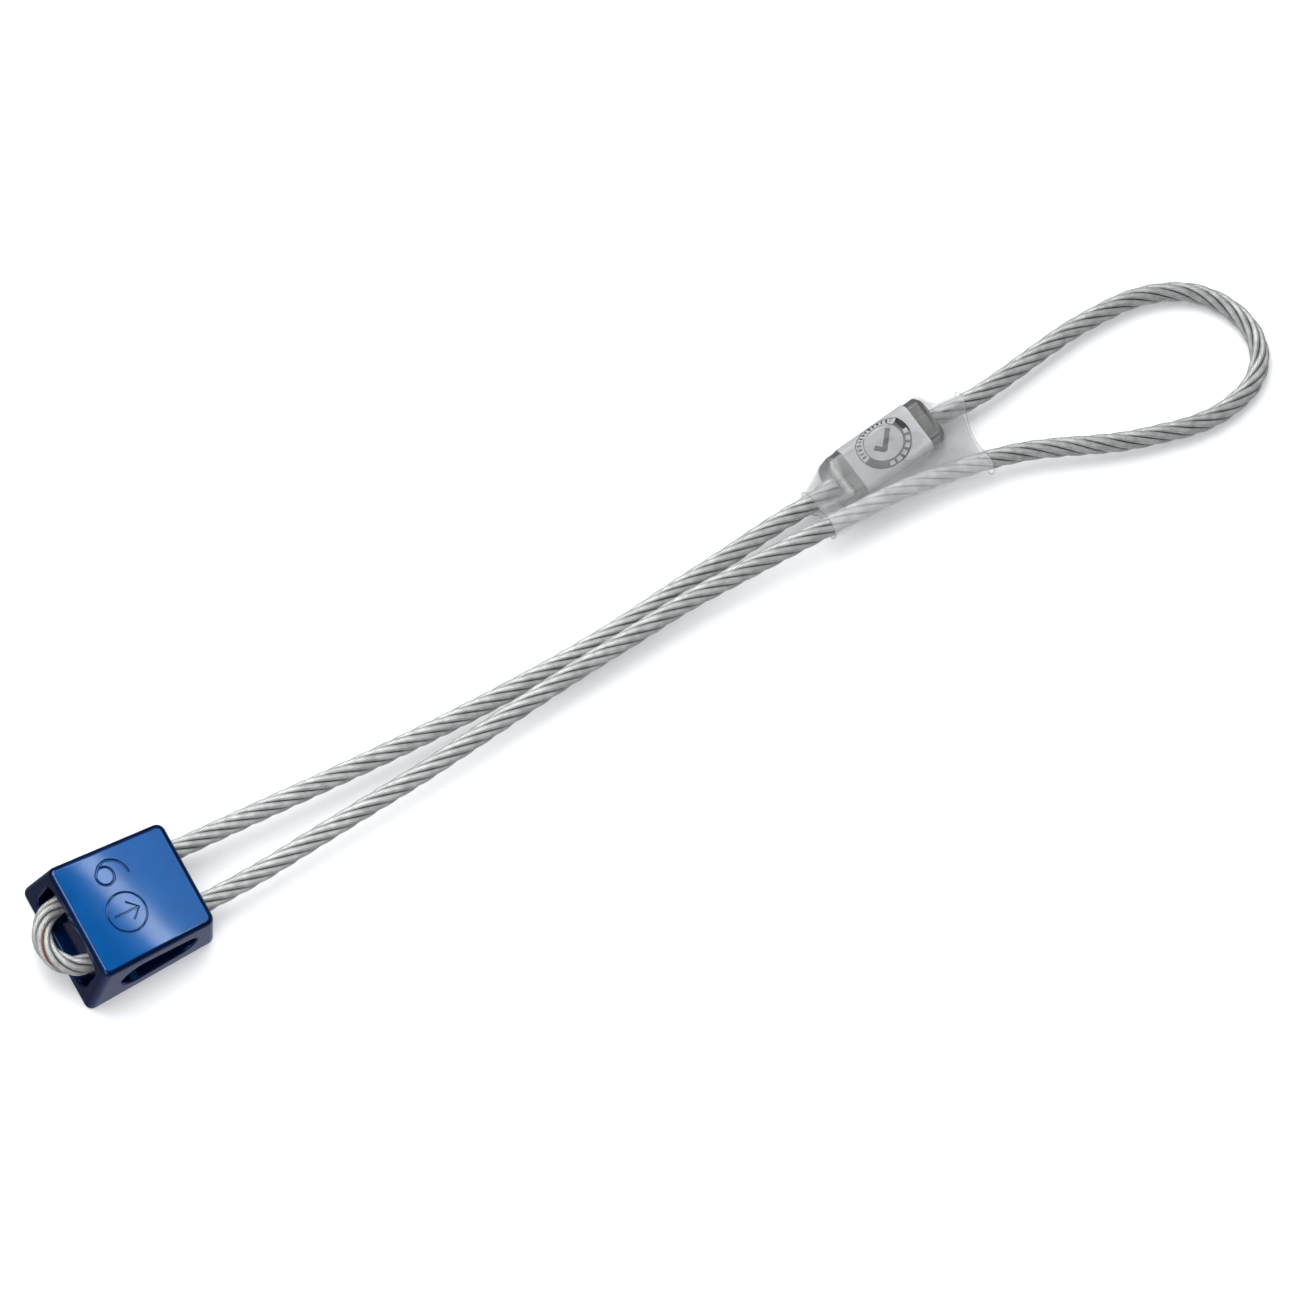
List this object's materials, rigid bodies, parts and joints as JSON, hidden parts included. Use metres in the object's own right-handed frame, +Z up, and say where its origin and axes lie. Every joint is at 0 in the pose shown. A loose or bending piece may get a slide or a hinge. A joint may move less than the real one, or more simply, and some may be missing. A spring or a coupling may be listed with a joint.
{
  "type": "wired climbing nut",
  "caption": "Tapered metal wedge on a sling of stranded wire rope, with a pressed ferrule in a clear sleeve; it jams in a rock crack and a karabiner clips its loop.",
  "frame": {"origin": "middle of the head's back face, on the surface that the nut lies on", "axes": "+X from the head to the clip loop, +Y across the sling towards the ferrule's side, +Z up from the back face"},
  "size_m": [0.2204, 0.0272, 0.0135],
  "materials": {
    "anodised_blue": "satin blue anodised, bevels darker",
    "galvanised_wire": "galvanised drawn wire, dull grey",
    "pressed_ferrule": "pressed, plain",
    "printed_label": "pale grey film with a black ring",
    "clear_sleeve": "clear heat-shrink tube",
    "red_yarn": "thin red-brown marker yarn"
  },
  "bodies": {
    "sling": {"core_strand": "galvanised_wire", "outer_strand_1": "galvanised_wire", "outer_strand_2": "galvanised_wire", "outer_strand_3": "galvanised_wire", "outer_strand_4": "galvanised_wire", "outer_strand_5": "galvanised_wire", "outer_strand_6": "galvanised_wire", "ferrule": "pressed_ferrule", "label": "printed_label", "shrink_sleeve": "clear_sleeve", "marker_yarn": "red_yarn"},
    "head": {"chock_head": "anodised_blue"}
  },
  "joints": [
    {"name": "head_slide", "type": "slide", "parent": "sling", "child": "head", "axis": [1, 0, 0], "range_m": [0, 0.008]}
  ]
}
